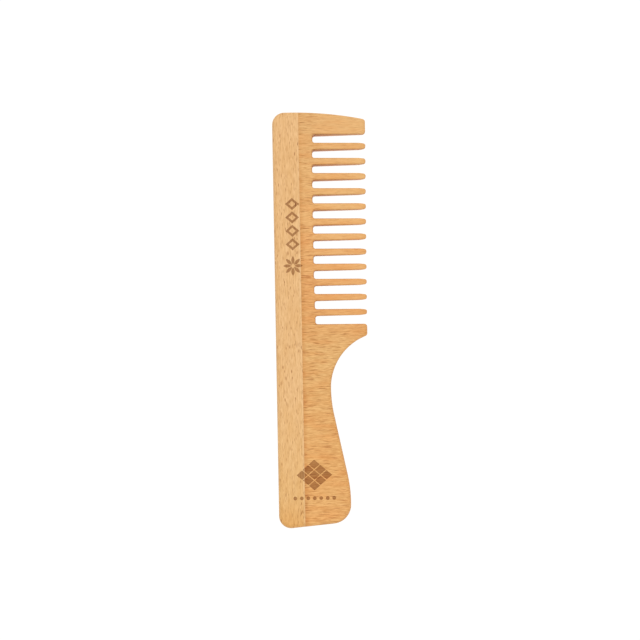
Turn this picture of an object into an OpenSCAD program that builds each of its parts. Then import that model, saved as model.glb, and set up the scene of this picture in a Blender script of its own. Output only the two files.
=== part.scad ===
// Wide-tooth beard comb glued up from two pieces of beech.
// The comb lies flat on its back face. X runs across it towards the tips of the teeth,
// Y runs along it towards the head end, and Z is the thickness. The origin is at the
// centre of the back face of its bounding box.

/* [Overall] */
// Length over both ends
comb_l = 180; // [150:1:220]
// Width from the outer edge of the spine to the tip of the first tooth
comb_w = 40.3; // [33:0.1:50]
// Thickness of the wood before it is ground
comb_t = 9; // [7:0.1:12]
// Radius that eases the long outer edges of the spine
edge_r = 2; // [0.5:0.1:3]

/* [Joint between the two woods] */
// Width of the spine on the face of the comb
spine_w = 11.4; // [10:0.1:14]
// Thickness of the tongue on the tooth blade
tongue_t = 3; // [2:0.1:4.5]
// Length of the tongue
tongue_l = 5; // [3:0.1:7]
// Thickness of the glue around the tongue
glue_t = 0.15; // [0.05:0.01:0.4]

/* [Teeth] */
// Number of teeth
teeth = 12; // [6:1:14]
// Distance from one tooth to the next
tooth_pitch = 6.54; // [5:0.01:7]
// Width of a tooth at its root
tooth_root_w = 3; // [2:0.1:3.6]
// Width of a tooth just before it narrows to its tip
tooth_tip_w = 2.7; // [2:0.1:3.4]
// Width of a tooth at its very tip
nose_w = 2; // [1.2:0.1:2]
// Length over which a tooth narrows to its tip
nose_l = 2.8; // [1.5:0.1:5]
// Radius of the bend where a tooth starts to narrow
nose_bend_r = 12; // [2:1:20]
// Distance from the outer edge of the spine to the bottom of the middle gaps
root_u = 16.9; // [15:0.1:22]
// How much shallower the first and the last gap are
root_bow = 0.4; // [0:0.1:1]
// Radius in the bottom corners of the gaps
gullet_r = 1; // [0.4:0.1:1.5]
// Radius at the tips of the teeth
tip_r = 0.9; // [0.3:0.05:1]
// How much narrower the comb is at the lower guard than at the first tooth
tip_fall = 0.6; // [0:0.1:2]

/* [Ground wedge] */
// Thickness of the comb at the tips of the teeth
tip_t = 4; // [2.5:0.1:6.5]
// Distance from the outer edge of the spine to the start of the wedge
wedge_u = 13.5; // [12:0.1:16]
// Length over which the wedge fades out into the handle
wedge_fade = 28; // [15:1:35]

/* [Guards] */
// Width of the head guard where it leaves the spine
head_guard_w = 9.85; // [6:0.05:14]
// How much the head end drops towards the tip of the guard
crown_drop = 3.4; // [0.5:0.1:5]
// Distance from the outer edge of the spine to the middle of the bend into that drop
crown_u = 23; // [18:0.5:26]
// Length over which the head end bends, to each side
crown_run = 16; // [6:0.5:17]
// Width of the lower guard at its tip
lower_guard_w = 4.9; // [3.5:0.1:8]
// Radius at the tips of both guards
guard_r = 1.3; // [0.5:0.1:1.6]

/* [Handle] */
// Width at the waist, where the finger sweep is deepest
waist_w = 23.5; // [19:0.1:28]
// Widest part of the handle, near its end
flare_w = 31.3; // [24:0.1:36]
// Height of the bend into the flare above the handle end
flare_v = 16.9; // [14:0.1:20]
// Radius of the finger sweep below the lower guard
sweep_r = 23.9; // [12:0.1:30]
// Slope at which the finger sweep meets the lower guard
sweep_slope = 24; // [10:1:40]
// Length over which the waist and the flare bend, to each side
bend_run = 5.9; // [2:0.1:6]
// Slope of the handle end
heel_slope = 5.3; // [0:0.1:12]
// Radius of both corners on the spine's side
corner_r = 5.3; // [2:0.1:7]
// Radius of the corner at the end of the flare
heel_r = 8.2; // [3:0.1:9]

/* [Ornament] */
// Depth of the burnt ornament in the front face
burn_d = 0.2; // [0.1:0.05:0.5]
// Distance from the handle end to the middle of the spine's lozenges
band_v = 131.5; // [110:0.5:140]
// Distance from the seam to the spine's lozenges
band_edge = 0.4; // [0.2:0.1:1.5]
// Number of lozenges on the spine
band_count = 4; // [2:1:5]
// Length and width of one lozenge on the spine
lozenge = [5.2, 6]; // [3:0.1:6]
// Width of the lines that the spine's lozenges are drawn with
line_w = 0.95; // [0.6:0.05:1.2]
// Distance from the middle of the lozenges to the rosette below them
rosette_gap = 18; // [14:0.5:20]
// Number of petals in the rosette
petals = 8; // [5:1:8]
// Distance from the middle of the rosette to the tips of its petals
petal_l = 4.2; // [3:0.1:4.6]
// Width of the petals
petal_w = 1.35; // [0.8:0.05:1.4]
// Distance from the handle end to the middle of the handle's lattice
lattice_v = 23.1; // [20:0.1:30]
// Distance from the outer edge of the spine to the middle of the lattice
lattice_u = 15.6; // [12:0.1:18]
// Number of lozenges along each side of the lattice
lattice_count = 3; // [2:1:4]
// Width and length of one lozenge in the lattice
tile = [4.7, 4]; // [2:0.1:5]
// Number of dots in the row below the lattice
dot_count = 7; // [3:2:9]

/* [Hidden] */
arc_step = 7.5;              // largest turn from one outline point to the next, in degrees
side_share = 0.995;          // part of a side that its two rounded corners may take up
sharp_run = 0.01;            // a corner with a shorter tangent than this stays sharp
past = 1;                    // how far cutters run past what they cut
mid_t = comb_t / 2;
spine_face_u = spine_w - glue_t;
tongue_tip_u = spine_w - tongue_l;
root_gap_w = tooth_pitch - tooth_root_w;
tip_gap_w = tooth_pitch - tooth_tip_w;
first_gap_v = comb_l - head_guard_w - root_gap_w / 2;
last_gap_v = first_gap_v - teeth * tooth_pitch;
guard_top_v = last_gap_v - tip_gap_w / 2;
guard_low_v = guard_top_v - lower_guard_w;
guard_u = comb_w - tip_fall;
sweep_v = guard_low_v - (guard_u - waist_w) * tan(sweep_slope);
sweep_run = sweep_r * tan((90 - sweep_slope) / 2);
waist_v = sweep_v - sweep_run - bend_run;
taper = atan((flare_w - waist_w) / (waist_v - flare_v));
bend_r = bend_run / tan(taper / 2);
heel_drop = corner_r * (tan(heel_slope) + 1 / cos(heel_slope) - 1);
crown_r = crown_run / tan(atan(crown_drop / (comb_w - crown_u)) / 2);
wedge_cut = (comb_t - tip_t) / 2;
burn_z = comb_t - burn_d;
ornament_gap = 0.6;          // between neighbouring lozenges
band_u = spine_w - band_edge - lozenge.y / 2;
petal_start = 0.7;           // from the middle of the rosette to the petals
tile_step = (tile + [ornament_gap, ornament_gap]) / 2;
dot_pitch = 2.8;
dot_r = 0.8;
dot_drop = 10;               // from the middle of the lattice down to the dots
leaf_sides = 96;
dot_sides = 24;

// Points are [u, v, radius]: u is the distance from the outer edge of the spine, and v is
// the distance from the handle end.

// Length of the tangent that a rounded corner takes from each of its two sides.
function corner_turn(a, b, c) =
    let (p = b - a, q = c - b)
    abs(atan2(p.x * q.y - p.y * q.x, p.x * q.x + p.y * q.y));
function corner_run(a, b, c, r) = r * tan(corner_turn(a, b, c) / 2);

// Arc of one rounded corner. share is the part of its full size that its sides leave it.
function corner_arc(a, b, c, r, share) =
    let (turn = corner_turn(a, b, c),
         run = corner_run(a, b, c, r) * share,
         to_a = (a - b) / norm(a - b),
         to_c = (c - b) / norm(c - b),
         start = b + to_a * run,
         end = b + to_c * run,
         bisector = (to_a + to_c) / norm(to_a + to_c),
         centre = b + bisector * run / sin(turn / 2),
         steps = ceil(turn / arc_step))
    run < sharp_run ? [b] :
    [for (i = [0 : steps])
        let (way = start - centre,
             side = (a - b).x * (c - b).y - (a - b).y * (c - b).x,
             angle = sign(side) * -turn * i / steps)
        centre + [way.x * cos(angle) - way.y * sin(angle), way.x * sin(angle) + way.y * cos(angle)]];

// Outline through the corners with every corner rounded. Where a side is too short for its
// two corners, both shrink by the same share.
function rounded(corners) =
    let (n = len(corners),
         at = [for (p = corners) [p.x, p.y]],
         runs = [for (i = [0 : n - 1])
             corner_run(at[(i + n - 1) % n], at[i], at[(i + 1) % n], corners[i].z)],
         fits = [for (i = [0 : n - 1])
             norm(at[(i + 1) % n] - at[i]) * side_share / max(0.001, runs[i] + runs[(i + 1) % n])])
    [for (i = [0 : n - 1])
        each corner_arc(at[(i + n - 1) % n], at[i], at[(i + 1) % n], corners[i].z,
                        min(1, fits[i], fits[(i + n - 1) % n]))];

// Bottom of the gap at v. The gaps are equally deep but for the few at each end.
function gap_u(v) =
    root_u + root_bow * pow(2 * (v - last_gap_v) / (first_gap_v - last_gap_v) - 1, 4);

function tip_u(v) = comb_w - tip_fall * (first_gap_v - v) / (first_gap_v - last_gap_v);

// Corners of one tooth, from the gap below it to the gap above it.
function tooth_corners(i) =
    let (v = last_gap_v + (i + 0.5) * tooth_pitch, u = tip_u(v))
    [[gap_u(v - tooth_pitch / 2), v - tooth_root_w / 2, gullet_r],
     [u - nose_l, v - tooth_tip_w / 2, nose_bend_r],
     [u, v - nose_w / 2, tip_r],
     [u, v + nose_w / 2, tip_r],
     [u - nose_l, v + tooth_tip_w / 2, nose_bend_r],
     [gap_u(v + tooth_pitch / 2), v + tooth_root_w / 2, gullet_r]];

comb_corners = concat(
    [[0, -heel_drop, corner_r],
     [flare_w, flare_w * tan(heel_slope) - heel_drop, heel_r],
     [flare_w, flare_v, bend_r],
     [waist_w, waist_v, bend_r],
     [waist_w, sweep_v, sweep_r],
     [guard_u, guard_low_v, guard_r],
     [guard_u, guard_top_v, guard_r],
     [gap_u(last_gap_v), last_gap_v - root_gap_w / 2, gullet_r]],
    [for (i = [0 : teeth - 1]) each tooth_corners(i)],
    [[gap_u(first_gap_v), first_gap_v + root_gap_w / 2, gullet_r],
     [comb_w, first_gap_v + tip_gap_w / 2, guard_r],
     [comb_w, comb_l - crown_drop, guard_r],
     [crown_u, comb_l, crown_r],
     [0, comb_l, corner_r]]);

// Runs a section across the comb, drawn as [u, z], along its whole length.
module along() {
    translate([0, comb_l + past, 0])
        rotate([90, 0, 0])
            linear_extrude(comb_l + 2 * past)
                children();
}

// Runs a section along the comb, drawn as [v, z], across its whole width.
module across() {
    translate([-past, 0, 0])
        rotate([90, 0, 90])
            linear_extrude(comb_w + 2 * past)
                children();
}

// What is ground off the front face: it deepens towards the tips of the teeth, and it
// fades out below the lower guard.
module ground_off() {
    slope = wedge_cut / (comb_w - wedge_u);
    intersection() {
        along()
            polygon([[wedge_u, comb_t],
                     [comb_w + past, comb_t - wedge_cut - slope * past],
                     [comb_w + past, comb_t + past],
                     [wedge_u, comb_t + past]]);
        across()
            polygon([[guard_top_v - wedge_fade, comb_t],
                     [guard_top_v, comb_t - wedge_cut],
                     [guard_top_v, comb_t - wedge_cut - past],
                     [comb_l + past, comb_t - wedge_cut - past],
                     [comb_l + past, comb_t + past],
                     [guard_top_v - wedge_fade, comb_t + past]]);
    }
}

module lozenge_shape(size) {
    polygon([[size.x / 2, 0], [0, size.y / 2], [-size.x / 2, 0], [0, -size.y / 2]]);
}

// Lozenge outline with a line of the same width on all four sides.
module lozenge_ring(size) {
    difference() {
        lozenge_shape(size);
        lozenge_shape(size * (1 - 2 * line_w * norm(size) / (size.x * size.y)));
    }
}

// A pointed leaf from the origin along +Y, between two equal arcs.
module leaf(length, width) {
    bulge_r = (length * length + width * width) / (4 * width);
    intersection() {
        translate([bulge_r - width / 2, length / 2])
            circle(bulge_r, $fn = leaf_sides);
        translate([width / 2 - bulge_r, length / 2])
            circle(bulge_r, $fn = leaf_sides);
    }
}

module lozenge_band() {
    for (i = [0 : band_count - 1])
        translate([band_u, band_v + (i - (band_count - 1) / 2) * (lozenge.x + ornament_gap)])
            rotate(90)
                lozenge_ring(lozenge);
}

module rosette() {
    for (i = [0 : petals - 1])
        translate([band_u, band_v - rosette_gap])
            rotate(i * 360 / petals)
                translate([0, petal_start])
                    leaf(petal_l - petal_start, petal_w);
}

// Small lozenges side by side that make up one large lozenge.
module lattice() {
    for (i = [0 : lattice_count - 1], j = [0 : lattice_count - 1])
        translate([lattice_u + (i - j) * tile_step.x,
                   lattice_v + (i + j - lattice_count + 1) * tile_step.y])
            lozenge_shape(tile);
}

module dot_row() {
    for (i = [0 : dot_count - 1])
        translate([lattice_u + (i - (dot_count - 1) / 2) * dot_pitch, lattice_v - dot_drop])
            circle(dot_r, $fn = dot_sides);
}

// Plain ornament in the front face: lozenges and a rosette on the spine, and a lattice over
// a row of dots on the handle.
module ornament() {
    lozenge_band();
    rosette();
    lattice();
    dot_row();
}

// The whole comb as one body, before it is split along the joint.
module comb_body() {
    difference() {
        intersection() {
            linear_extrude(comb_t)
                polygon(rounded(comb_corners));
            along()
                polygon(rounded([[0, 0, edge_r],
                                 [comb_w + past, 0, 0],
                                 [comb_w + past, comb_t, 0],
                                 [0, comb_t, edge_r]]));
        }
        ground_off();
        translate([0, 0, comb_t])
            mirror([0, 0, 1])
                ground_off();
        translate([0, 0, burn_z])
            linear_extrude(burn_d + past)
                ornament();
    }
}

// Section of the tooth blade's side of the joint, with its tongue.
module blade_section() {
    translate([spine_w, -past])
        square([comb_w, comb_t + 2 * past]);
    translate([tongue_tip_u, mid_t - tongue_t / 2])
        square([tongue_l + past, tongue_t]);
}

// The same section, larger by the glue on every face.
module glue_section() {
    translate([spine_face_u, -past])
        square([comb_w, comb_t + 2 * past]);
    translate([tongue_tip_u - glue_t, mid_t - tongue_t / 2 - glue_t])
        square([tongue_l + past, tongue_t + 2 * glue_t]);
}

module in_frame() {
    translate([-comb_w / 2, -comb_l / 2, 0])
        children();
}

// Long-grain strip with a groove along its inner edge.
module spine() {
    color("#e6b87e")
        in_frame()
            difference() {
                comb_body();
                along()
                    glue_section();
            }
}

// Cross-grain piece: head guard, teeth, lower guard, half of the handle and the tongue.
module tooth_blade() {
    color("#e2a96a")
        in_frame()
            intersection() {
                comb_body();
                along()
                    blade_section();
            }
}

// Film of dried glue that fills the joint.
module glue_line() {
    color("#b9824f")
        in_frame()
            intersection() {
                comb_body();
                along()
                    difference() {
                        glue_section();
                        blade_section();
                    }
            }
}

spine();
tooth_blade();
glue_line();
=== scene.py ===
"""Wide-tooth beard comb glued up from two strips of beech, ready to render.

The comb lies flat on its back face. X runs across it towards the tips of the teeth, Y runs
along it towards the head end and Z is its thickness. Sizes are in millimetres and meshes are
in metres. On the plan, u is the distance from the outer edge of the spine and v is the
distance from the handle end.
"""

import logging
import math
from dataclasses import dataclass, field, replace
from enum import Enum
from typing import Any, NamedTuple

import bmesh
import bpy
from mathutils import Matrix, Vector


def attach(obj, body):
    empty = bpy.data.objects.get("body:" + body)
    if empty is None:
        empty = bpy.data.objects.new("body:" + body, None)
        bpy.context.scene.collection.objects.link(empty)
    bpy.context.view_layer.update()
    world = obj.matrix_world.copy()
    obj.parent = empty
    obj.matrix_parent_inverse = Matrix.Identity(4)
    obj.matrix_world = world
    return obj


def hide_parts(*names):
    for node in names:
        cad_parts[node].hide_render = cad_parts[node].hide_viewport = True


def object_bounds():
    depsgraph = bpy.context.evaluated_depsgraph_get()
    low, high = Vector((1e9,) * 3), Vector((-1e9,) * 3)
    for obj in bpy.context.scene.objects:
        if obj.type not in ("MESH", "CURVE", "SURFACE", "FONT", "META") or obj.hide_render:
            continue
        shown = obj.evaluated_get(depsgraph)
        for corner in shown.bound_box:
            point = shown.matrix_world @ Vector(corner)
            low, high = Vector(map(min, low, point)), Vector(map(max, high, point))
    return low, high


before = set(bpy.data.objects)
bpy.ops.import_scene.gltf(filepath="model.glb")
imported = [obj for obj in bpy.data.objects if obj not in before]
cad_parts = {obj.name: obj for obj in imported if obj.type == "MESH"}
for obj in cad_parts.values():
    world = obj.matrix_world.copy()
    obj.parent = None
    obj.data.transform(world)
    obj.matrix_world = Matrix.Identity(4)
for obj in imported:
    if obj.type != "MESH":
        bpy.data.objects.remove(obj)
CAD_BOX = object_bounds()
MM = 0.001
SPINE_W = 11.4  # width of the spine, from its outer edge to the seam, in mm
SEAM_X = SPINE_W + CAD_BOX[0][0] / MM  # place of the seam across the comb, in mm

# Settings that several material nodes share.
SMOOTH = {"interpolation_type": "SMOOTHSTEP"}
MULTIPLY = {"operation": "MULTIPLY"}
MULTIPLY_ADD = {"operation": "MULTIPLY_ADD"}
SUBTRACT = {"operation": "SUBTRACT"}
ABSOLUTE = {"operation": "ABSOLUTE"}
BLEND = {"data_type": "RGBA"}
TINT = {"data_type": "RGBA", "blend_type": "MULTIPLY"}

log = logging.getLogger("beard_comb")


# ---------------------------------------------------------------------------------------------
# Small helpers
# ---------------------------------------------------------------------------------------------


def linear(hex_colour: str) -> tuple[float, float, float, float]:
    """Turns an sRGB hex colour into the linear colour that shaders take.

    Args:
        hex_colour: Colour as "#rrggbb".

    Returns:
        Linear red, green and blue, with an alpha of 1.
    """
    channels = [int(hex_colour[i : i + 2], 16) / 255 for i in (1, 3, 5)]
    curve = [c / 12.92 if c <= 0.04045 else ((c + 0.055) / 1.055) ** 2.4 for c in channels]
    return (*curve, 1.0)


def add(
    tree: bpy.types.NodeTree,
    kind: str,
    inputs: dict[str | int, Any] | None = None,
    settings: dict[str, Any] | None = None,
) -> bpy.types.Node:
    """Adds a node, sets it up and links its inputs.

    Args:
        tree: Tree that the node goes in.
        kind: Node type, such as "ShaderNodeMath".
        inputs: Value or output socket for each input, by name or number.
        settings: Value of each property of the node.

    Returns:
        The new node.
    """
    node = tree.nodes.new(kind)
    for name, value in (settings or {}).items():
        setattr(node, name, value)
    for name, value in (inputs or {}).items():
        if isinstance(value, bpy.types.NodeSocket):
            tree.links.new(value, node.inputs[name])
        else:
            node.inputs[name].default_value = value
    return node


def new_material(name: str) -> tuple[bpy.types.Material, bpy.types.NodeTree]:
    """Makes a material with an empty node tree.

    Args:
        name: Name of the material.

    Returns:
        The material and its tree.
    """
    material = bpy.data.materials.new(name)
    material.use_nodes = True
    material.node_tree.nodes.clear()
    return material, material.node_tree


def smooth_step(low: float, high: float, value: float) -> float:
    """Rises smoothly from 0 at low to 1 at high."""
    t = min(1.0, max(0.0, (value - low) / (high - low)))
    return t * t * (3 - 2 * t)


# ---------------------------------------------------------------------------------------------
# Woods and other finishes
# ---------------------------------------------------------------------------------------------


class Grain(Enum):
    """Direction that a wood's fibres run in, as the turn that brings it onto X."""

    ALONG = -math.pi / 2
    ACROSS = 0.0


@dataclass(frozen=True)
class BeechFinish:
    """Planed, sanded and oiled beech.

    Beech is a pale pinkish-tan wood with fine lines along the grain and many short dark
    flecks, which are its rays cut across. Sanded and oiled it has a soft satin surface, and
    its end grain soaks up more oil and goes darker. Its upright sides and rims are darkened
    with the same edge colour, which is painted shade.

    A range is the pair of values that a strength rises between. A rate is in repeats per mm,
    with the first number along the grain.

    Attributes:
        name: Name of the material.
        grain: Direction of the fibres.
        board: Colour of the board along the comb, as places in mm from the middle and colours.
        line: Tint of the fine dark lines along the grain.
        fleck: Tint of the ray flecks.
        warm: Tint of the patches that are redder than the rest.
        seam: Colour beside the glued seam.
        seam_reach: How far that colour reaches from the seam, in mm.
        edge: Colour of the oil-soaked end grain, and of the painted shade on the upright sides.
        fleck_mm: Room that one fleck has along the grain, across it and in depth.
        fleck_share: Part of those places that hold a fleck.
        line_mm: Length and width of the fine lines.
        wander_mm: How far the grain strays from straight.
        offset_mm: Place in the log, so that two pieces don't share a pattern.
        calm: How far the figure fades on the toothed part, which is sanded more.
        scorch: What the burner leaves of the wood's colour.
        roughness: Roughness of the oiled surface.
        seam_fade_y: Where the seam's colour starts and stops fading along the comb, in mm.
        seam_strength: Strength of the seam's colour before and after that.
        calm_x: Where the figure starts and stops fading across the comb, in mm.
        calm_y: Where it starts and stops fading along the comb, in mm.
        drift_rate: Rate at which the grain strays.
        line_range: Noise between which a fine line darkens.
        patch_rate: Rate of the redder patches.
        patch_range: Noise between which a patch reddens.
        fleck_reach: Smallest and largest half size of a fleck, as a part of its room.
        fleck_core: Part of a fleck that is fully dark.
        fleck_strength: Faintest and darkest fleck.
        side_fleck: Strength of the flecks on the sides of the comb.
        side_shade_range: Upright part of the normal between which the edge colour comes in as
            painted shade.
        side_shade_strength: Strength of the painted shade on an upright side.
        pore_rate: Rate of the pores in the end grain.
        pore_range: Noise between which a pore fills.
        pore_strength: Oil taken up by closed and open end grain.
        bump: Strength of the bump, and its height in mm.
        sheen_range: Change in roughness from the smoothest wood to the roughest line.
        ior: Index of refraction of the oil film.
        specular: Level of the highlight, which a thin film of oil keeps low.
    """

    name: str
    grain: Grain
    board: tuple[tuple[float, str], ...]
    line: str
    fleck: str
    warm: str
    seam: str
    seam_reach: float
    edge: str
    fleck_mm: tuple[float, float, float]
    fleck_share: float
    line_mm: tuple[float, float]
    wander_mm: float
    offset_mm: tuple[float, float, float]
    calm: float = 0.0
    scorch: str = "#ffffff"
    roughness: float = 0.55
    seam_fade_y: tuple[float, float] = (45.0, 82.0)
    seam_strength: tuple[float, float] = (0.7, 0.2)
    calm_x: tuple[float, float] = (-6.0, 3.0)
    calm_y: tuple[float, float] = (-6.0, 0.0)
    drift_rate: tuple[float, float, float] = (0.14, 0.2, 0.06)
    line_range: tuple[float, float] = (0.36, 0.7)
    patch_rate: tuple[float, float, float] = (0.07, 0.3, 0.15)
    patch_range: tuple[float, float] = (0.4, 0.7)
    fleck_reach: tuple[float, float] = (0.22, 0.42)
    fleck_core: float = 0.45
    fleck_strength: tuple[float, float] = (0.25, 0.95)
    side_fleck: float = 0.2
    side_shade_range: tuple[float, float] = (0.85, 0.1)
    side_shade_strength: float = 0.4
    pore_rate: float = 2.2
    pore_range: tuple[float, float] = (0.35, 0.65)
    pore_strength: tuple[float, float] = (0.1, 0.5)
    bump: tuple[float, float] = (0.3, 0.06)
    sheen_range: tuple[float, float] = (-0.05, 0.06)
    ior: float = 1.5
    specular: float = 0.25

    def build(self) -> bpy.types.Material:
        """Builds the material.

        Returns:
            The material, with its colour, bump and roughness in object space.
        """
        material, tree = new_material(self.name)
        place = add(tree, "ShaderNodeTexCoord")
        straight = add(
            tree,
            "ShaderNodeMapping",
            {
                "Vector": place.outputs["Object"],
                "Location": self.offset_mm,
                "Rotation": (0, 0, self.grain.value),
                "Scale": (1 / MM, 1 / MM, 1 / MM),
            },
        )
        grain = self._wander(tree, straight.outputs[0])
        figure = self._figure(tree, place.outputs["Object"])
        colour = self._board(tree, place.outputs["Object"])
        colour, lines = self._lines(tree, grain, figure, colour)
        colour, fleck = self._flecks(tree, grain, place.outputs["Normal"], figure, colour)
        colour = self._end_grain_and_side_shade(tree, place.outputs["Normal"], grain, colour)
        burnt = add(tree, "ShaderNodeMix", {0: 1.0, 6: colour, 7: linear(self.scorch)}, TINT)
        height = add(tree, "ShaderNodeMath", {0: fleck, 1: -0.5, 2: lines}, MULTIPLY_ADD)
        strength, depth = self.bump
        bump = add(
            tree,
            "ShaderNodeBump",
            {"Height": height.outputs[0], "Strength": strength, "Distance": depth * MM},
        )
        smoother, rougher = (self.roughness + change for change in self.sheen_range)
        dull = add(tree, "ShaderNodeMapRange", {"Value": lines, "To Min": smoother, "To Max": rougher})
        shader = add(
            tree,
            "ShaderNodeBsdfPrincipled",
            {
                "Base Color": burnt.outputs[2],
                "Roughness": dull.outputs[0],
                "Normal": bump.outputs[0],
                "IOR": self.ior,
                "Specular IOR Level": self.specular,
            },
        )
        add(tree, "ShaderNodeOutputMaterial", {"Surface": shader.outputs[0]})
        return material

    def _board(self, tree: bpy.types.NodeTree, place: bpy.types.NodeSocket) -> bpy.types.NodeSocket:
        """Colours the board, which drifts from yellower to redder wood along the comb.

        Args:
            tree: Tree of the material.
            place: Place on the comb in metres.

        Returns:
            The colour so far, with a tone of its own beside the seam.
        """
        first, last = self.board[0][0], self.board[-1][0]
        axis = add(tree, "ShaderNodeSeparateXYZ", {"Vector": place})
        along = add(
            tree,
            "ShaderNodeMapRange",
            {"Value": axis.outputs["Y"], "From Min": first * MM, "From Max": last * MM},
        )
        ramp = add(tree, "ShaderNodeValToRGB", {"Fac": along.outputs[0]})
        stops = ramp.color_ramp.elements
        stops.remove(stops[0])
        stops[0].position = 1.0
        stops[0].color = linear(self.board[-1][1])
        for at, colour in self.board[:-1]:
            stops.new((at - first) / (last - first)).color = linear(colour)
        away = add(tree, "ShaderNodeMath", {0: axis.outputs["X"], 1: SEAM_X * MM}, SUBTRACT)
        distance = add(tree, "ShaderNodeMath", {0: away.outputs[0]}, ABSOLUTE)
        strength = add(
            tree,
            "ShaderNodeMapRange",
            {
                "Value": axis.outputs["Y"],
                "From Min": self.seam_fade_y[0] * MM,
                "From Max": self.seam_fade_y[1] * MM,
                "To Min": self.seam_strength[0],
                "To Max": self.seam_strength[1],
            },
        )
        near = add(
            tree,
            "ShaderNodeMapRange",
            {
                "Value": distance.outputs[0],
                "From Max": self.seam_reach * MM,
                "To Min": strength.outputs[0],
                "To Max": 0,
            },
            SMOOTH,
        )
        seamed = add(
            tree,
            "ShaderNodeMix",
            {0: near.outputs[0], 6: ramp.outputs["Color"], 7: linear(self.seam)},
            BLEND,
        )
        return seamed.outputs[2]

    def _wander(self, tree: bpy.types.NodeTree, place: bpy.types.NodeSocket) -> bpy.types.NodeSocket:
        """Bends straight grain space so that lines and flecks wander.

        Args:
            tree: Tree of the material.
            place: Place in the wood in mm, X along the grain.

        Returns:
            The bent place.
        """
        slow = add(tree, "ShaderNodeMapping", {"Vector": place, "Scale": self.drift_rate})
        drift = add(
            tree,
            "ShaderNodeTexNoise",
            {"Vector": slow.outputs[0], "Scale": 1.0, "Detail": 3.0, "Roughness": 0.6},
        )
        sway = 2 * self.wander_mm
        shift = add(
            tree,
            "ShaderNodeVectorMath",
            {0: drift.outputs["Color"], 1: (0, sway, sway), 2: (0, -sway / 2, -sway / 2)},
            MULTIPLY_ADD,
        )
        bent = add(tree, "ShaderNodeVectorMath", {0: place, 1: shift.outputs[0]}, {"operation": "ADD"})
        return bent.outputs[0]

    def _figure(self, tree: bpy.types.NodeTree, place: bpy.types.NodeSocket) -> bpy.types.NodeSocket:
        """Says how strongly lines and flecks show, which is less on the teeth and the head.

        Args:
            tree: Tree of the material.
            place: Place on the comb in metres.

        Returns:
            The strength, 1 where they show in full.
        """
        axis = add(tree, "ShaderNodeSeparateXYZ", {"Vector": place})
        past = [
            add(
                tree,
                "ShaderNodeMapRange",
                {"Value": axis.outputs[way], "From Min": start * MM, "From Max": end * MM},
                SMOOTH,
            ).outputs[0]
            for way, (start, end) in (("X", self.calm_x), ("Y", self.calm_y))
        ]
        faded = add(tree, "ShaderNodeMath", {0: past[0], 1: past[1]}, MULTIPLY)
        figure = add(
            tree,
            "ShaderNodeMapRange",
            {"Value": faded.outputs[0], "To Min": 1.0, "To Max": 1 - self.calm},
        )
        return figure.outputs[0]

    def _lines(
        self,
        tree: bpy.types.NodeTree,
        grain: bpy.types.NodeSocket,
        figure: bpy.types.NodeSocket,
        colour: bpy.types.NodeSocket,
    ) -> tuple[bpy.types.NodeSocket, bpy.types.NodeSocket]:
        """Draws the fine lines along the grain and the redder patches.

        The lines of beech follow its pores, which are under 0.1 mm wide and too fine to show,
        so they are drawn several times coarser.

        Args:
            tree: Tree of the material.
            grain: Bent place in the wood.
            figure: How strongly the lines show.
            colour: Colour of the board.

        Returns:
            The colour so far, and the height of the lines.
        """
        length, width = self.line_mm
        fine = add(
            tree,
            "ShaderNodeMapping",
            {"Vector": grain, "Scale": (1 / length, 1 / width, 0.5 / width)},
        )
        lines = add(
            tree,
            "ShaderNodeTexNoise",
            {"Vector": fine.outputs[0], "Scale": 1.0, "Detail": 2.5, "Roughness": 0.6},
        )
        dark = add(
            tree,
            "ShaderNodeMapRange",
            {
                "Value": lines.outputs["Fac"],
                "From Min": self.line_range[0],
                "From Max": self.line_range[1],
                "To Max": figure,
            },
        )
        lined = add(
            tree, "ShaderNodeMix", {0: dark.outputs[0], 6: colour, 7: linear(self.line)}, TINT
        )
        broad = add(tree, "ShaderNodeMapping", {"Vector": grain, "Scale": self.patch_rate})
        patches = add(
            tree,
            "ShaderNodeTexNoise",
            {"Vector": broad.outputs[0], "Scale": 1.0, "Detail": 2.0, "Roughness": 0.5},
        )
        red = add(
            tree,
            "ShaderNodeMapRange",
            {
                "Value": patches.outputs["Fac"],
                "From Min": self.patch_range[0],
                "From Max": self.patch_range[1],
            },
        )
        warmed = add(
            tree,
            "ShaderNodeMix",
            {0: red.outputs[0], 6: lined.outputs[2], 7: linear(self.warm)},
            TINT,
        )
        return warmed.outputs[2], lines.outputs["Fac"]

    def _flecks(
        self,
        tree: bpy.types.NodeTree,
        grain: bpy.types.NodeSocket,
        normal: bpy.types.NodeSocket,
        figure: bpy.types.NodeSocket,
        colour: bpy.types.NodeSocket,
    ) -> tuple[bpy.types.NodeSocket, bpy.types.NodeSocket]:
        """Draws the ray flecks, lens-shaped spots that lie along the grain.

        The rays stand upright in the board, so they show as spots on the faces and only
        faintly on the sides. Each cell of a stretched cell pattern holds one fleck, and the
        cell's random colour says whether it is there, how large it is and how dark.

        Args:
            tree: Tree of the material.
            grain: Bent place in the wood.
            normal: Direction that the surface faces.
            figure: How strongly the flecks show.
            colour: Colour of the wood under the flecks.

        Returns:
            The colour so far, and how much of a fleck there is at each place.
        """
        cell = add(
            tree,
            "ShaderNodeMapping",
            {"Vector": grain, "Scale": tuple(1 / size for size in self.fleck_mm)},
        )
        rays = add(
            tree,
            "ShaderNodeTexVoronoi",
            {"Vector": cell.outputs[0], "Scale": 1.0, "Randomness": 1.0},
            {"feature": "F1", "distance": "EUCLIDEAN"},
        )
        lot = add(tree, "ShaderNodeSeparateColor", {"Color": rays.outputs["Color"]})
        present = add(
            tree,
            "ShaderNodeMath",
            {0: lot.outputs[0], 1: self.fleck_share},
            {"operation": "LESS_THAN"},
        )
        reach = add(
            tree,
            "ShaderNodeMapRange",
            {"Value": lot.outputs[1], "To Min": self.fleck_reach[0], "To Max": self.fleck_reach[1]},
        )
        core = add(tree, "ShaderNodeMath", {0: reach.outputs[0], 1: self.fleck_core}, MULTIPLY)
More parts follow.
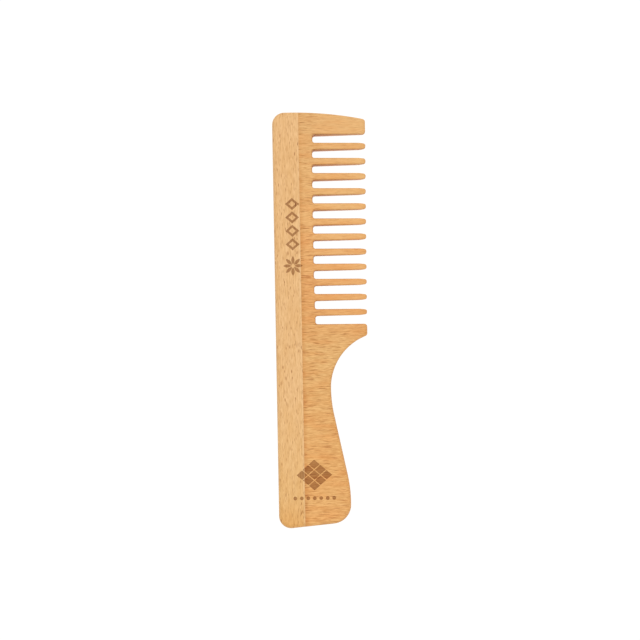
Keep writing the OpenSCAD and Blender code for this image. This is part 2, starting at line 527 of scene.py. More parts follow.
        inside = add(
            tree,
            "ShaderNodeMapRange",
            {
                "Value": rays.outputs["Distance"],
                "From Min": reach.outputs[0],
                "From Max": core.outputs[0],
            },
            SMOOTH,
        )
        strength = add(
            tree,
            "ShaderNodeMapRange",
            {
                "Value": lot.outputs[2],
                "To Min": self.fleck_strength[0],
                "To Max": self.fleck_strength[1],
            },
        )
        facing = add(tree, "ShaderNodeSeparateXYZ", {"Vector": normal})
        flat = add(tree, "ShaderNodeMath", {0: facing.outputs["Z"]}, ABSOLUTE)
        shown = add(
            tree,
            "ShaderNodeMapRange",
            {"Value": flat.outputs[0], "To Min": self.side_fleck, "To Max": figure},
        )
        mask = inside
        for factor in (present, strength, shown):
            mask = add(tree, "ShaderNodeMath", {0: mask.outputs[0], 1: factor.outputs[0]}, MULTIPLY)
        flecked = add(
            tree, "ShaderNodeMix", {0: mask.outputs[0], 6: colour, 7: linear(self.fleck)}, TINT
        )
        return flecked.outputs[2], mask.outputs[0]

    def _end_grain_and_side_shade(
        self,
        tree: bpy.types.NodeTree,
        normal: bpy.types.NodeSocket,
        grain: bpy.types.NodeSocket,
        colour: bpy.types.NodeSocket,
    ) -> bpy.types.NodeSocket:
        """Darkens the oil-soaked end grain, and paints shade onto the upright sides and rims.

        Args:
            tree: Tree of the material.
            normal: Direction that the surface faces.
            grain: Bent place in the wood.
            colour: Colour so far.

        Returns:
            The finished colour.
        """
        facing = add(tree, "ShaderNodeSeparateXYZ", {"Vector": normal})
        flat = add(tree, "ShaderNodeMath", {0: facing.outputs["Z"]}, ABSOLUTE)
        # Painted shade: the edge colour comes in as the surface turns upright, darkening rims and
        # tooth flanks as if shaded.
        side = add(
            tree,
            "ShaderNodeMapRange",
            {
                "Value": flat.outputs[0],
                "From Min": self.side_shade_range[0],
                "From Max": self.side_shade_range[1],
                "To Max": self.side_shade_strength,
            },
        )
        # End grain, which faces along the grain, soaks up more oil in its pores.
        along = facing.outputs["Y" if self.grain is Grain.ALONG else "X"]
        squared = add(tree, "ShaderNodeMath", {0: along, 1: along}, MULTIPLY)
        pores = add(
            tree,
            "ShaderNodeTexNoise",
            {"Vector": grain, "Scale": self.pore_rate, "Detail": 2.0, "Roughness": 0.7},
        )
        soaked = add(
            tree,
            "ShaderNodeMapRange",
            {
                "Value": pores.outputs["Fac"],
                "From Min": self.pore_range[0],
                "From Max": self.pore_range[1],
                "To Min": self.pore_strength[0],
                "To Max": self.pore_strength[1],
            },
        )
        # Share of the edge colour: oil in the end grain plus the painted shade on the sides.
        oil_and_side_shade = add(
            tree,
            "ShaderNodeMath",
            {0: squared.outputs[0], 1: soaked.outputs[0], 2: side.outputs[0]},
            {**MULTIPLY_ADD, "use_clamp": True},
        )
        mixed = add(
            tree, "ShaderNodeMix", {0: oil_and_side_shade.outputs[0], 6: colour, 7: linear(self.edge)}, BLEND
        )
        return mixed.outputs[2]


@dataclass(frozen=True)
class GlueFinish:
    """Dried wood glue, a brown matt film that shows as a hairline at the seam.

    Attributes:
        name: Name of the material.
        colour: Colour of the film.
        stain: Colour of the darker spots in it.
        spot_rate: Spots per mm.
        spot_range: Noise between which a spot darkens.
        roughness: Roughness of the film.
        ior: Index of refraction of the film.
    """

    name: str = "dried_wood_glue"
    colour: str = "#e0ac70"
    stain: str = "#b07c48"
    spot_rate: float = 0.9
    spot_range: tuple[float, float] = (0.5, 0.68)
    roughness: float = 0.6
    ior: float = 1.48

    def build(self) -> bpy.types.Material:
        """Builds the material.

        Returns:
            The material, blotched along the seam.
        """
        material, tree = new_material(self.name)
        place = add(tree, "ShaderNodeTexCoord")
        spots = add(
            tree,
            "ShaderNodeTexNoise",
            {"Vector": place.outputs["Object"], "Scale": self.spot_rate / MM, "Detail": 2.0},
        )
        blotch = add(
            tree,
            "ShaderNodeMapRange",
            {
                "Value": spots.outputs["Fac"],
                "From Min": self.spot_range[0],
                "From Max": self.spot_range[1],
            },
        )
        colour = add(
            tree,
            "ShaderNodeMix",
            {0: blotch.outputs[0], 6: linear(self.colour), 7: linear(self.stain)},
            BLEND,
        )
        shader = add(
            tree,
            "ShaderNodeBsdfPrincipled",
            {"Base Color": colour.outputs[2], "Roughness": self.roughness, "IOR": self.ior},
        )
        add(tree, "ShaderNodeOutputMaterial", {"Surface": shader.outputs[0]})
        return material


SPINE_BEECH = BeechFinish(
    name="beech_long_grain_oiled",
    grain=Grain.ALONG,
    board=((-90, "#ebb36b"), (-76, "#f0c182"), (-30, "#f1c38a"), (90, "#f1c289")),
    line="#e7decf",
    fleck="#ad8150",
    warm="#fbf7ee",
    seam="#f6cd98",
    seam_reach=1.3,
    # Edge colour: oil-soaked end grain at the ends, and painted shade on the upright sides.
    edge="#e8b478",
    fleck_mm=(3.2, 0.62, 8.0),
    fleck_share=1.0,
    line_mm=(3.6, 0.5),
    wander_mm=0.5,
    offset_mm=(0, 0, 0),
)
BLADE_BEECH = BeechFinish(
    name="beech_cross_grain_oiled",
    grain=Grain.ACROSS,
    board=(
        (-90, "#f2bc78"),
        (-60, "#efb873"),
        (-15, "#edbd7b"),
        (5, "#ebb06d"),
        (25, "#efb674"),
        (55, "#efbc7a"),
        (90, "#eab97a"),
    ),
    line="#dfcfb9",
    fleck="#b98a5c",
    warm="#fceee1",
    seam="#dda25f",
    seam_reach=2.2,
    # Edge colour: oil-soaked end grain at the tooth tips, and painted shade on the upright sides, dark
    # for the shaded tooth flanks.
    edge="#cb8e52",
    fleck_mm=(6.2, 0.42, 8.0),
    fleck_share=0.95,
    line_mm=(3.2, 0.4),
    wander_mm=0.7,
    offset_mm=(31, 17, 5),
    calm=0.5,
)
SCORCHED = "#c4b2a6"
SPINE_BURNT = replace(SPINE_BEECH, name="beech_long_grain_burnt", scorch=SCORCHED, roughness=0.75)
BLADE_BURNT = replace(BLADE_BEECH, name="beech_cross_grain_burnt", scorch=SCORCHED, roughness=0.75)
DRIED_GLUE = GlueFinish()
SLOTS = {"spine": "spine_beech", "tooth_blade": "blade_beech", "glue_line": "dried_glue"}


# ---------------------------------------------------------------------------------------------
# Shape of the comb
# ---------------------------------------------------------------------------------------------


class Corner(NamedTuple):
    """Corner of the plan outline, in mm, before it is rounded to a radius."""

    u: float
    v: float
    radius: float


@dataclass
class CombPlan:
    """Sizes of the comb's outline, in mm, and the outline drawn from them.

    Attributes:
        length: Length over both ends.
        width: Width from the spine's outer edge to the first tooth's tip.
        thickness: Thickness of the wood where it isn't ground.

    The other sizes are those of the parts that they are named for. Names that end in _u and
    _v are places, in _w, _l, _t and _r widths, lengths, thicknesses and radii, and arc_step
    and arc_chord are the largest turn and the longest chord that an arc is drawn with.
    """

    length: float
    width: float
    thickness: float
    teeth: int = 12
    tooth_pitch: float = 6.54
    tooth_root_w: float = 3.0
    tooth_tip_w: float = 2.7
    nose_w: float = 2.0
    nose_l: float = 2.8
    nose_bend_r: float = 12.0
    tip_r: float = 0.9
    root_u: float = 16.9
    root_bow: float = 0.4
    gullet_r: float = 1.0
    tip_fall: float = 0.6
    tip_t: float = 4.0
    wedge_u: float = 13.5
    wedge_blend: float = 2.0
    wedge_fade: float = 28.0
    head_guard_w: float = 9.85
    crown_drop: float = 3.4
    crown_u: float = 23.0
    crown_run: float = 16.0
    lower_guard_w: float = 4.9
    guard_r: float = 1.3
    waist_w: float = 23.5
    flare_w: float = 31.3
    flare_v: float = 16.9
    sweep_r: float = 23.9
    sweep_slope: float = math.radians(24)
    bend_run: float = 5.9
    heel_slope: float = math.radians(5.3)
    corner_r: float = 5.3
    heel_r: float = 8.2
    spine_ease: float = 2.0
    tooth_ease: float = 0.8
    arc_step: float = math.radians(11)
    arc_chord: float = 0.8
    same_point: float = 0.01

    def __post_init__(self) -> None:
        """Works out the places that follow from the sizes."""
        self.root_gap = self.tooth_pitch - self.tooth_root_w
        self.tip_gap = self.tooth_pitch - self.tooth_tip_w
        self.first_gap_v = self.length - self.head_guard_w - self.root_gap / 2
        self.last_gap_v = self.first_gap_v - self.teeth * self.tooth_pitch
        self.guard_top_v = self.last_gap_v - self.tip_gap / 2
        self.guard_low_v = self.guard_top_v - self.lower_guard_w
        self.guard_u = self.width - self.tip_fall
        self.sweep_v = self.guard_low_v - (self.guard_u - self.waist_w) * math.tan(self.sweep_slope)
        sweep_run = self.sweep_r * math.tan(math.pi / 4 - self.sweep_slope / 2)
        self.waist_v = self.sweep_v - sweep_run - self.bend_run
        taper = math.atan((self.flare_w - self.waist_w) / (self.waist_v - self.flare_v))
        self.bend_r = self.bend_run / math.tan(taper / 2)

    def gap_u(self, v: float) -> float:
        """Gives the bottom of the gap at v, which is nearer the tips at both ends of the row."""
        place = 2 * (v - self.last_gap_v) / (self.first_gap_v - self.last_gap_v) - 1
        return self.root_u + self.root_bow * place**4

    def tip_u(self, v: float) -> float:
        """Gives the distance of the tip line from the spine's outer edge at v."""
        share = (self.first_gap_v - v) / (self.first_gap_v - self.last_gap_v)
        return self.width - self.tip_fall * min(1.0, max(0.0, share))

    def corners(self) -> list[Corner]:
        """Lists the corners of the outline, with the handle end first.

        Returns:
            The corners, anticlockwise seen from the front.
        """
        first, last = self.first_gap_v, self.last_gap_v
        slope = math.tan(self.heel_slope)
        drop = self.corner_r * (slope + 1 / math.cos(self.heel_slope) - 1)
        crown = math.atan(self.crown_drop / (self.width - self.crown_u))
        crown_r = self.crown_run / math.tan(crown / 2)
        corners = [
            Corner(0, -drop, self.corner_r),
            Corner(self.flare_w, self.flare_w * slope - drop, self.heel_r),
            Corner(self.flare_w, self.flare_v, self.bend_r),
            Corner(self.waist_w, self.waist_v, self.bend_r),
            Corner(self.waist_w, self.sweep_v, self.sweep_r),
            Corner(self.guard_u, self.guard_low_v, self.guard_r),
            Corner(self.guard_u, self.guard_top_v, self.guard_r),
            Corner(self.gap_u(last), last - self.root_gap / 2, self.gullet_r),
        ]
        pitch = self.tooth_pitch
        for i in range(self.teeth):
            v = last + (i + 0.5) * pitch
            tip = self.tip_u(v)
            corners += [
                Corner(self.gap_u(v - pitch / 2), v - self.tooth_root_w / 2, self.gullet_r),
                Corner(tip - self.nose_l, v - self.tooth_tip_w / 2, self.nose_bend_r),
                Corner(tip, v - self.nose_w / 2, self.tip_r),
                Corner(tip, v + self.nose_w / 2, self.tip_r),
                Corner(tip - self.nose_l, v + self.tooth_tip_w / 2, self.nose_bend_r),
                Corner(self.gap_u(v + pitch / 2), v + self.tooth_root_w / 2, self.gullet_r),
            ]
        corners += [
            Corner(self.gap_u(first), first + self.root_gap / 2, self.gullet_r),
            Corner(self.width, first + self.tip_gap / 2, self.guard_r),
            Corner(self.width, self.length - self.crown_drop, self.guard_r),
            Corner(self.crown_u, self.length, crown_r),
            Corner(0, self.length, self.corner_r),
        ]
        return corners

    def trace(self, bm: bmesh.types.BMesh) -> bmesh.types.BMFace:
        """Draws the outline as one face at z = 0, in mm on the plan.

        Args:
            bm: Empty mesh to draw in.

        Returns:
            The face inside the outline.
        """
        corners = self.corners()
        count = len(corners)
        pen = None
        for i, corner in enumerate(corners):
            at = Vector((corner.u, corner.v, 0))
            before = Vector((*corners[i - 1][:2], 0)) - at
            after = Vector((*corners[(i + 1) % count][:2], 0)) - at
            turn = math.pi - before.angle(after)
            side = 1 if after.cross(before).z > 0 else -1
            run = corner.radius * math.tan(turn / 2)
            start = at + before.normalized() * run
            inward = (before.normalized() + after.normalized()).normalized()
            centre = at + inward * run / math.sin(turn / 2)
            chords = max(turn / self.arc_step, turn * corner.radius / self.arc_chord)
            if pen is None:
                pen = bm.verts.new(start)
            else:
                drawn = bmesh.ops.extrude_vert_indiv(bm, verts=[pen])
                pen = drawn["verts"][0]
                bmesh.ops.translate(bm, verts=[pen], vec=start - pen.co)
            arc = bmesh.ops.spin(
                bm,
                geom=[pen],
                cent=centre,
                axis=(0, 0, 1),
                dvec=(0, 0, 0),
                angle=side * turn,
                steps=math.ceil(chords),
                use_duplicate=False,
            )
            pen = next(v for v in arc["geom_last"] if isinstance(v, bmesh.types.BMVert))
        bm.verts.ensure_lookup_table()
        bm.edges.new((pen, bm.verts[0]))
        bmesh.ops.remove_doubles(bm, verts=bm.verts[:], dist=self.same_point)
        return bmesh.ops.contextual_create(bm, geom=bm.edges[:])["faces"][0]

    def ease(self, u: float, v: float) -> float:
        """Gives the radius that the sanded rim has at a place on the outline.

        The rim is full along the spine and the handle and slim around the teeth and the
        tips of the guards. It changes only along the crown and the finger sweep, because
        two chords that meet at a corner need the same radius.

        Args:
            u: Distance from the outer edge of the spine.
            v: Distance from the handle end.

        Returns:
            The radius in mm.
        """
        slim = 0.0
        if v > self.length - self.head_guard_w / 2:
            slim = smooth_step(self.wedge_u, self.width - 2 * self.guard_r, u)
        elif u > self.wedge_u:
            slim = smooth_step(self.waist_v, self.guard_low_v - self.guard_r, v)
        return self.spine_ease + (self.tooth_ease - self.spine_ease) * slim

    def half_thickness(self, u: float, v: float) -> float:
        """Gives half the comb's thickness after it is ground to a wedge.

        Args:
            u: Distance from the outer edge of the spine.
            v: Distance from the handle end.

        Returns:
            Half the thickness in mm.
        """
        blend = self.wedge_blend
        reach = max(0.0, u - self.wedge_u)
        slope_run = reach * reach / (2 * blend) if reach < blend else reach - blend / 2
        full_run = self.width - self.wedge_u - blend / 2
        cut = (self.thickness - self.tip_t) / 2 * slope_run / full_run
        cut *= smooth_step(self.guard_top_v - self.wedge_fade, self.guard_top_v, v)
        return self.thickness / 2 - cut


@dataclass
class JointSection:
    """Tongue and groove joint between the two woods, in mm.

    Attributes:
        plan: Sizes of the comb.
        spine_w: Width of the spine, from its outer edge to the seam.
        tongue_t: Thickness of the tongue.
        tongue_l: How far the tongue goes into the spine.
        glue_t: Thickness of the film of glue around it.
        past: How far the cutter runs past the comb, so that no two faces coincide.
    """

    plan: CombPlan
    spine_w: float = SPINE_W
    tongue_t: float = 3.0
    tongue_l: float = 5.0
    glue_t: float = 0.15
    past: float = 2.0

    def cutter(self, margin: float) -> bpy.types.Object:
        """Makes the solid that the tooth blade's side of the joint takes up.

        Args:
            margin: How much larger than the blade it is on every joint face.

        Returns:
            The solid, longer and thicker than the comb.
        """
        past = self.past
        middle = self.plan.thickness / 2
        face_u = self.spine_w - margin
        tip_u = self.spine_w - self.tongue_l - margin
        half = self.tongue_t / 2 + margin
        far_u = self.plan.width + past
        bm = bmesh.new()
        rim = [
            (tip_u, middle - half),
            (face_u, middle - half),
            (face_u, -past),
            (far_u, -past),
            (far_u, self.plan.thickness + past),
            (face_u, self.plan.thickness + past),
            (face_u, middle + half),
            (tip_u, middle + half),
        ]
        verts = [bm.verts.new((u, -past, z)) for u, z in rim]
        face = bmesh.ops.contextual_create(bm, geom=verts)["faces"][0]
        moved = bmesh.ops.extrude_face_region(bm, geom=[face])["geom"]
        bmesh.ops.translate(
            bm,
            verts=[v for v in moved if isinstance(v, bmesh.types.BMVert)],
            vec=(0, self.plan.length + 2 * past, 0),
        )
        return solid(bm, "joint_cutter", self.plan)


@dataclass
class Ornament:
    """Plain ornament burnt into the front face, in mm.

    Lozenge outlines and a rosette stand on the spine, and a lattice of lozenges stands over
    a row of dots on the handle. The cutter runs past the front face, so that no two faces
    coincide.
    """

    plan: CombPlan
    depth: float = 0.2
    band_u: float = 8.0
    band_v: float = 131.5
    band_count: int = 4
    lozenge: tuple[float, float] = (6.0, 5.2)
    line_w: float = 0.95
    gap: float = 0.6
    rosette_gap: float = 18.0
    petals: int = 8
    petal_start: float = 0.7
    petal_l: float = 4.2
    petal_w: float = 1.35
    petal_steps: int = 14
    lattice_u: float = 15.6
    lattice_v: float = 23.1
    lattice_count: int = 3
    tile: tuple[float, float] = (4.7, 4.0)
    dot_count: int = 7
    dot_pitch: float = 2.8
    dot_r: float = 0.8
    dot_drop: float = 10.0
    dot_segments: int = 24
    past: float = 1.0
    same_point: float = 0.001

    def cutter(self) -> bpy.types.Object:
        """Makes the solids that are cut out of the front face.

        Returns:
            One object that holds all of them.
        """
        bm = bmesh.new()
        for i in range(self.band_count):
            step = (i - (self.band_count - 1) / 2) * (self.lozenge[1] + self.gap)
            self._lozenge(bm, self.band_u, self.band_v + step, self.lozenge, self.line_w)
        for i in range(self.petals):
            self._petal(bm, math.tau * i / self.petals)
        step_u, step_v = ((side + self.gap) / 2 for side in self.tile)
        for i in range(self.lattice_count):
            for j in range(self.lattice_count):
                u = self.lattice_u + (i - j) * step_u
                v = self.lattice_v + (i + j - self.lattice_count + 1) * step_v
                self._lozenge(bm, u, v, self.tile)
        for i in range(self.dot_count):
            u = self.lattice_u + (i - (self.dot_count - 1) / 2) * self.dot_pitch
            bmesh.ops.create_circle(
                bm,
                cap_ends=True,
                radius=self.dot_r,
                segments=self.dot_segments,
                matrix=Matrix.Translation((u, self.lattice_v - self.dot_drop, 0)),
            )
        bmesh.ops.translate(bm, verts=bm.verts[:], vec=(0, 0, self.plan.thickness - self.depth))
        moved = bmesh.ops.extrude_face_region(bm, geom=bm.faces[:])["geom"]
        top = [v for v in moved if isinstance(v, bmesh.types.BMVert)]
        bmesh.ops.translate(bm, verts=top, vec=(0, 0, self.depth + self.past))
        return solid(bm, "ornament_cutter", self.plan)

    def _lozenge(
        self,
        bm: bmesh.types.BMesh,
        u: float,
        v: float,
        size: tuple[float, float],
        line_w: float = 0.0,
    ) -> None:
        """Draws one lozenge.

        Args:
            bm: Mesh to draw in.
            u: Distance of its middle from the outer edge of the spine.
            v: Distance of its middle from the handle end.
            size: Width and length.
            line_w: Width of its outline, or 0 for a filled lozenge.
        """
        wide, tall = size[0] / 2, size[1] / 2
        tips = [(u + wide, v), (u, v + tall), (u - wide, v), (u, v - tall)]
        verts = [bm.verts.new((*tip, 0)) for tip in tips]
        face = bmesh.ops.contextual_create(bm, geom=verts)["faces"][0]
        if line_w:
            bmesh.ops.inset_individual(bm, faces=[face], thickness=line_w, use_even_offset=True)
            bmesh.ops.delete(bm, geom=[face], context="FACES_ONLY")

    def _petal(self, bm: bmesh.types.BMesh, turn: float) -> None:
        """Draws one pointed petal of the rosette between two equal arcs.

        Args:
            bm: Mesh to draw in.
            turn: Direction of the petal, anticlockwise from +v.
        """
        length = self.petal_l - self.petal_start
        bulge_r = (length**2 + self.petal_w**2) / (4 * self.petal_w)
        half_angle = math.asin(length / 2 / bulge_r)
        pen = bm.verts.new((0, self.petal_start, 0))
        for side in (1, -1):
            arc = bmesh.ops.spin(
                bm,
                geom=[pen],
                cent=(side * (self.petal_w / 2 - bulge_r), self.petal_start + length / 2, 0),
                axis=(0, 0, 1),
                dvec=(0, 0, 0),
                angle=2 * half_angle,
                steps=self.petal_steps,
                use_duplicate=False,
            )
            pen = next(v for v in arc["geom_last"] if isinstance(v, bmesh.types.BMVert))
        outline = [v for v in bm.verts if not v.link_faces]
        bmesh.ops.remove_doubles(bm, verts=outline, dist=self.same_point)
        outline = [v for v in bm.verts if not v.link_faces]
        bmesh.ops.rotate(bm, verts=outline, cent=(0, 0, 0), matrix=Matrix.Rotation(turn, 3, "Z"))
        bmesh.ops.translate(bm, verts=outline, vec=(self.band_u, self.band_v - self.rosette_gap, 0))
        edges = {e for v in outline for e in v.link_edges}
        bmesh.ops.contextual_create(bm, geom=list(edges))


def solid(bm: bmesh.types.BMesh, name: str, plan: CombPlan) -> bpy.types.Object:
    """Turns a mesh drawn on the plan, in mm, into an object in the row's frame.

    Args:
        bm: Closed mesh, which is freed.
        name: Name of the object.
        plan: Plan that the mesh was drawn on.

    Returns:
        The object, at the origin and linked to the scene.
    """
    bmesh.ops.recalc_face_normals(bm, faces=bm.faces[:])
    bmesh.ops.translate(bm, verts=bm.verts[:], vec=(-plan.width / 2, -plan.length / 2, 0))
    bmesh.ops.scale(bm, verts=bm.verts[:], vec=(MM, MM, MM))
    mesh = bpy.data.meshes.new(name)
    bm.to_mesh(mesh)
    bm.free()
    obj = bpy.data.objects.new(name, mesh)
    bpy.context.scene.collection.objects.link(obj)
    return obj


def apply_modifiers(obj: bpy.types.Object) -> None:
    """Replaces an object's mesh with what its modifiers make of it.

    Args:
        obj: Object whose modifiers are baked and removed.
    """
    bpy.context.view_layer.update()
    graph = bpy.context.evaluated_depsgraph_get()
    mesh = bpy.data.meshes.new_from_object(obj.evaluated_get(graph))
    obj.modifiers.clear()
    obj.data = mesh


def cut(obj: bpy.types.Object, cutter: bpy.types.Object, operation: str) -> None:
    """Cuts an object with a solid and bakes the result.

    Args:
        obj: Object to cut.
        cutter: Closed solid.
        operation: DIFFERENCE or INTERSECT.
    """
    boolean = obj.modifiers.new("cut", "BOOLEAN")
    boolean.object = cutter
    boolean.operation = operation
    boolean.solver = "EXACT"
    boolean.material_mode = "TRANSFER"
    apply_modifiers(obj)


def discard(obj: bpy.types.Object) -> None:
    """Removes a helper object and its mesh.

    Args:
        obj: Object to remove.
    """
    mesh = obj.data
    bpy.data.objects.remove(obj)
    bpy.data.meshes.remove(mesh)


@dataclass
class CombBody:
    """The whole comb as one sanded body, before it is split at the joint.

    Attributes:
        plan: Sizes of the comb, in mm.
        ease_segments: Facets across a sanded rim.
        tip_round: Length over which the tips of the teeth are rounded in thickness.
        tip_sharpness: Part of the squared thickness that is gone at the very tip.
        slice_pitch: Distance between the slices of the wedge.
        start_pitch: The same where the wedge starts.
        tip_pitch: The same where the tips are rounded.
        slice_margin: How far before that rounding the fine slices start.
        same_point: Distance under which a slice reuses a point of the mesh.
    """

    plan: CombPlan
    ease_segments: int = 5
    tip_round: float = 2.2
    tip_sharpness: float = 0.7
    slice_pitch: float = 2.0
    start_pitch: float = 0.5
    tip_pitch: float = 0.35
    slice_margin: float = 0.3
    same_point: float = 1e-5

    def build(self) -> bpy.types.Object:
        """Builds the body.

        Returns:
            The body as a closed mesh.
        """
        bm = bmesh.new()
        face = self.plan.trace(bm)
        moved = bmesh.ops.extrude_face_region(bm, geom=[face])["geom"]
        bmesh.ops.translate(
            bm,
            verts=[v for v in moved if isinstance(v, bmesh.types.BMVert)],
            vec=(0, 0, self.plan.thickness),
        )
        self._weigh_rims(bm)
        body = solid(bm, "comb_body", self.plan)
        bevel = body.modifiers.new("ease", "BEVEL")
        bevel.affect = "EDGES"
        bevel.limit_method = "WEIGHT"
        bevel.width = self.plan.spine_ease * MM
        bevel.segments = self.ease_segments
        bevel.profile = 0.5
        bevel.use_clamp_overlap = False
        bevel.material = -1
        apply_modifiers(body)
        self._grind(body)
        return body

    def _weigh_rims(self, bm: bmesh.types.BMesh) -> None:
        """Gives each rim edge the share of the full easing radius that it gets.

        Args:
            bm: The extruded outline, in mm on the plan.
        """
        weight = bm.edges.layers.float.new("bevel_weight_edge")
        for edge in bm.edges:
            a, b = (v.co for v in edge.verts)
            if abs(a.z - b.z) < self.plan.same_point:
                middle = (a + b) / 2
                edge[weight] = self.plan.ease(middle.x, middle.y) / self.plan.spine_ease

    def _grind(self, body: bpy.types.Object) -> None:
        """Grinds the toothed side to a wedge and rounds the tips.

        Args:
            body: Body with eased rims and parallel faces.
        """
        plan = self.plan
        bm = bmesh.new()
        bm.from_mesh(body.data)
        bmesh.ops.scale(bm, verts=bm.verts[:], vec=(1 / MM, 1 / MM, 1 / MM))
        bmesh.ops.translate(bm, verts=bm.verts[:], vec=(plan.width / 2, plan.length / 2, 0))
        for u in self._stations():
            self._slice(bm, (u, 0, 0), (1, 0, 0))
        for i in range(int(plan.wedge_fade / self.slice_pitch) + 1):
            v = plan.guard_top_v - plan.wedge_fade + i * self.slice_pitch
            self._slice(bm, (0, v, 0), (0, 1, 0))
        middle = plan.thickness / 2
        for vert in bm.verts:
            u, v = vert.co.x, vert.co.y
            share = plan.half_thickness(u, v) / middle
            if v > plan.sweep_v and u > plan.tip_u(v) - self.tip_round:
                out = (u - plan.tip_u(v) + self.tip_round) / self.tip_round
                share *= math.sqrt(1 - self.tip_sharpness * min(1.0, out) ** 2)
            vert.co.z = middle + (vert.co.z - middle) * share
        bmesh.ops.translate(bm, verts=bm.verts[:], vec=(-plan.width / 2, -plan.length / 2, 0))
        bmesh.ops.scale(bm, verts=bm.verts[:], vec=(MM, MM, MM))
        bmesh.ops.recalc_face_normals(bm, faces=bm.faces[:])
        bm.to_mesh(body.data)
        bm.free()

    def _stations(self) -> list[float]:
        """Lists where the wedge is sliced: closely at its start and at the tips.

        Returns:
            Distances from the outer edge of the spine.
        """
        plan = self.plan
        tips_u = plan.width - plan.tip_fall - self.tip_round - self.slice_margin
        stations = []
        u = plan.wedge_u
        while u < plan.width:
            stations.append(u)
            if u > tips_u:
                u += self.tip_pitch
            elif u < plan.wedge_u + plan.wedge_blend:
                u += self.start_pitch
            else:
                u += self.slice_pitch
        return stations

    def _slice(
        self,
        bm: bmesh.types.BMesh,
        at: tuple[float, float, float],
        normal: tuple[float, float, float],
    ) -> None:
        """Cuts new edges into the mesh where a plane passes through it.

        Args:
            bm: Mesh to cut.
            at: Point on the plane.
            normal: Direction that the plane faces.
        """
        everything = bm.verts[:] + bm.edges[:] + bm.faces[:]
        bmesh.ops.bisect_plane(
            bm, geom=everything, dist=self.same_point, plane_co=at, plane_no=normal
        )


@dataclass
class BeardComb:
    """The comb: spine, tooth blade and the glue between them.

    Attributes:
        plan: Sizes of the comb, in mm.
        pieces: The finished pieces, in the order of SLOTS.
        crease: Turn between two faces from which their edge stays sharp, in radians.
        same_point: Distance in mm under which two points of a piece are one.
    """

    plan: CombPlan
    pieces: list[bpy.types.Object] = field(default_factory=list)
    crease: float = math.radians(32)
    same_point: float = 0.002

    def build(self) -> None:
        """Builds the three pieces and hangs them on the frame."""
        body = CombBody(self.plan).build()
        joint = JointSection(self.plan)
        ornament = Ornament(self.plan).cutter()
        groove = joint.cutter(joint.glue_t)
        blade = joint.cutter(0.0)
        glue = DRIED_GLUE.build()
        burn = (ornament, "DIFFERENCE")
        self._piece(
            body, "spine", [burn, (groove, "DIFFERENCE")], SPINE_BEECH.build(), SPINE_BURNT.build()
        )
        self._piece(
            body, "tooth_blade", [burn, (blade, "INTERSECT")], BLADE_BEECH.build(), BLADE_BURNT.build()
        )
        self._piece(
            body, "glue_line", [burn, (groove, "INTERSECT"), (blade, "DIFFERENCE")], glue, glue
        )
        for helper in (body, ornament, groove, blade):
            discard(helper)
        for piece, node in zip(self.pieces, SLOTS):
            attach(piece, "root")
            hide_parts(node)

    def _piece(
        self,
        body: bpy.types.Object,
        node: str,
        cuts: list[tuple[bpy.types.Object, str]],
        finish: bpy.types.Material,
        burnt: bpy.types.Material,
    ) -> None:
        """Cuts one piece out of the body.

        Args:
            body: The whole comb.
            node: CAD node that the piece stands for.
            cuts: Solids to cut with, in order, and how.
            finish: Material of the piece.
            burnt: Material of the ornament where it is cut into the piece.
        """
        piece = bpy.data.objects.new(f"{node}_finished", body.data.copy())
        bpy.context.scene.collection.objects.link(piece)
        piece.data.materials.clear()
        piece.data.materials.append(finish)
        for cutter, operation in cuts:
            cutter.data.materials.clear()
            cutter.data.materials.append(burnt if cutter.name.startswith("ornament") else finish)
            cut(piece, cutter, operation)
        self._shade(piece)
        self.pieces.append(piece)
        log.info("%s: %d faces", piece.name, len(piece.data.polygons))

    def _shade(self, piece: bpy.types.Object) -> None:
        """Shades a piece smooth, with its true edges sharp and its flats flat.

        Args:
            piece: Piece to shade.
        """
        bm = bmesh.new()
        bm.from_mesh(piece.data)
        bmesh.ops.remove_doubles(bm, verts=bm.verts[:], dist=self.same_point * MM)
        for face in bm.faces:
            face.smooth = True
        for edge in bm.edges:
            edge.smooth = edge.is_manifold and edge.calc_face_angle() < self.crease
        bm.to_mesh(piece.data)
        bm.free()
        weighted = piece.modifiers.new("flats", "WEIGHTED_NORMAL")
        weighted.keep_sharp = True


# ---------------------------------------------------------------------------------------------
# Studio
# ---------------------------------------------------------------------------------------------


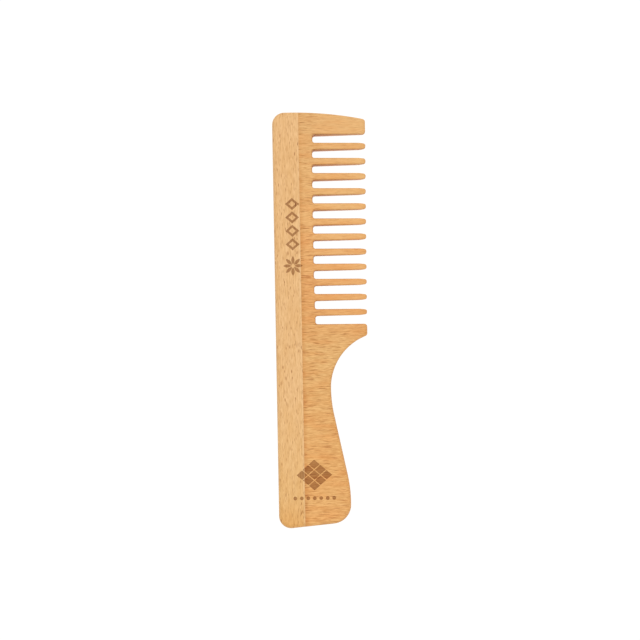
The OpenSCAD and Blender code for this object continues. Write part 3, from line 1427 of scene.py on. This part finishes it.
@dataclass
class Studio:
    """White table, soft light and the camera that looks straight down on the comb.

    Sizes and places are in metres.

    Attributes:
        table_size: Length of the square table's sides.
        table_gap: How far the table is below the comb, so that their faces don't coincide.
        table_colour: Colour of the table's acrylic.
        table_roughness: Roughness of its surface.
        table_glow: Strength of the light behind it.
        room_glow: Strength of the even light from the room.
        key_angle: Apparent size of the key light, which makes it soft.
        key_energy: Strength of the key light.
        key_at: Direction that the key light comes from.
        camera_height: Height of the camera above the front face.
        focal_mm: Focal length of the lens.
        sensor_mm: Width of the sensor.
        near_clip: Nearest that the camera sees.
        camera_roll: Turn of the camera about its axis.
        camera_at: Place of the camera on the plan.
    """

    table_size: float = 12.0
    table_gap: float = 0.1 * MM
    table_colour: str = "#404040"
    table_roughness: float = 0.7
    table_glow: float = 0.97
    room_glow: float = 0.6
    key_angle: float = math.radians(50)
    key_energy: float = 1.36
    key_at: tuple[float, float, float] = (0.12, 0.2, 1.0)
    camera_height: float = 0.58
    focal_mm: float = 75.6
    sensor_mm: float = 36.0
    near_clip: float = 0.01
    camera_roll: float = math.radians(-1.03)
    camera_at: tuple[float, float] = (-0.91 * MM, -0.06 * MM)

    def build(self, thickness: float) -> None:
        """Builds the table, the lights and the camera.

        Args:
            thickness: Thickness of the comb, in mm.
        """
        self._table()
        self._lights()
        self._camera(thickness)

    def _table(self) -> None:
        """Lays a table of backlit white acrylic under the comb, which hides nearly all shadow."""
        bm = bmesh.new()
        bmesh.ops.create_grid(bm, x_segments=1, y_segments=1, size=self.table_size / 2)
        bmesh.ops.translate(bm, verts=bm.verts[:], vec=(0, 0, -self.table_gap))
        mesh = bpy.data.meshes.new("table")
        bm.to_mesh(mesh)
        bm.free()
        table = bpy.data.objects.new("table", mesh)
        bpy.context.scene.collection.objects.link(table)
        material, tree = new_material("white_acrylic_backlit")
        shader = add(
            tree,
            "ShaderNodeBsdfPrincipled",
            {
                "Base Color": linear(self.table_colour),
                "Roughness": self.table_roughness,
                "Emission Color": linear("#ffffff"),
                "Emission Strength": self.table_glow,
            },
        )
        add(tree, "ShaderNodeOutputMaterial", {"Surface": shader.outputs[0]})
        mesh.materials.append(material)

    def _lights(self) -> None:
        """Lights the comb evenly, with a little more light from the tooth and head side."""
        world = bpy.data.worlds.new("white_room")
        bpy.context.scene.world = world
        world.use_nodes = True
        tree = world.node_tree
        tree.nodes.clear()
        glow = {"Color": linear("#ffffff"), "Strength": self.room_glow}
        room = add(tree, "ShaderNodeBackground", glow)
        add(tree, "ShaderNodeOutputWorld", {"Surface": room.outputs[0]})
        light = bpy.data.lights.new("soft_key", "SUN")
        light.angle = self.key_angle
        light.energy = self.key_energy
        key = bpy.data.objects.new("soft_key", light)
        bpy.context.scene.collection.objects.link(key)
        key.location = self.key_at
        key.rotation_euler = (-key.location).to_track_quat("-Z", "Y").to_euler()

    def _camera(self, thickness: float) -> None:
        """Sets the camera straight above the comb.

        Args:
            thickness: Thickness of the comb, in mm.
        """
        data = bpy.data.cameras.new("camera")
        data.lens = self.focal_mm
        data.sensor_width = self.sensor_mm
        data.clip_start = self.near_clip
        camera = bpy.data.objects.new("camera", data)
        bpy.context.scene.collection.objects.link(camera)
        camera.location = (*self.camera_at, thickness * MM + self.camera_height)
        camera.rotation_euler = (0, 0, self.camera_roll)
        bpy.context.scene.camera = camera
        bpy.context.scene.view_settings.view_transform = "Standard"


def main() -> None:
    """Builds the comb and the studio."""
    logging.basicConfig(level=logging.INFO, format="%(name)s: %(message)s")
    low, high = CAD_BOX
    size = (Vector(high) - Vector(low)) / MM
    plan = CombPlan(length=size.y, width=size.x, thickness=size.z)
    BeardComb(plan).build()
    Studio().build(plan.thickness)


if __name__ == "__main__":
    main()
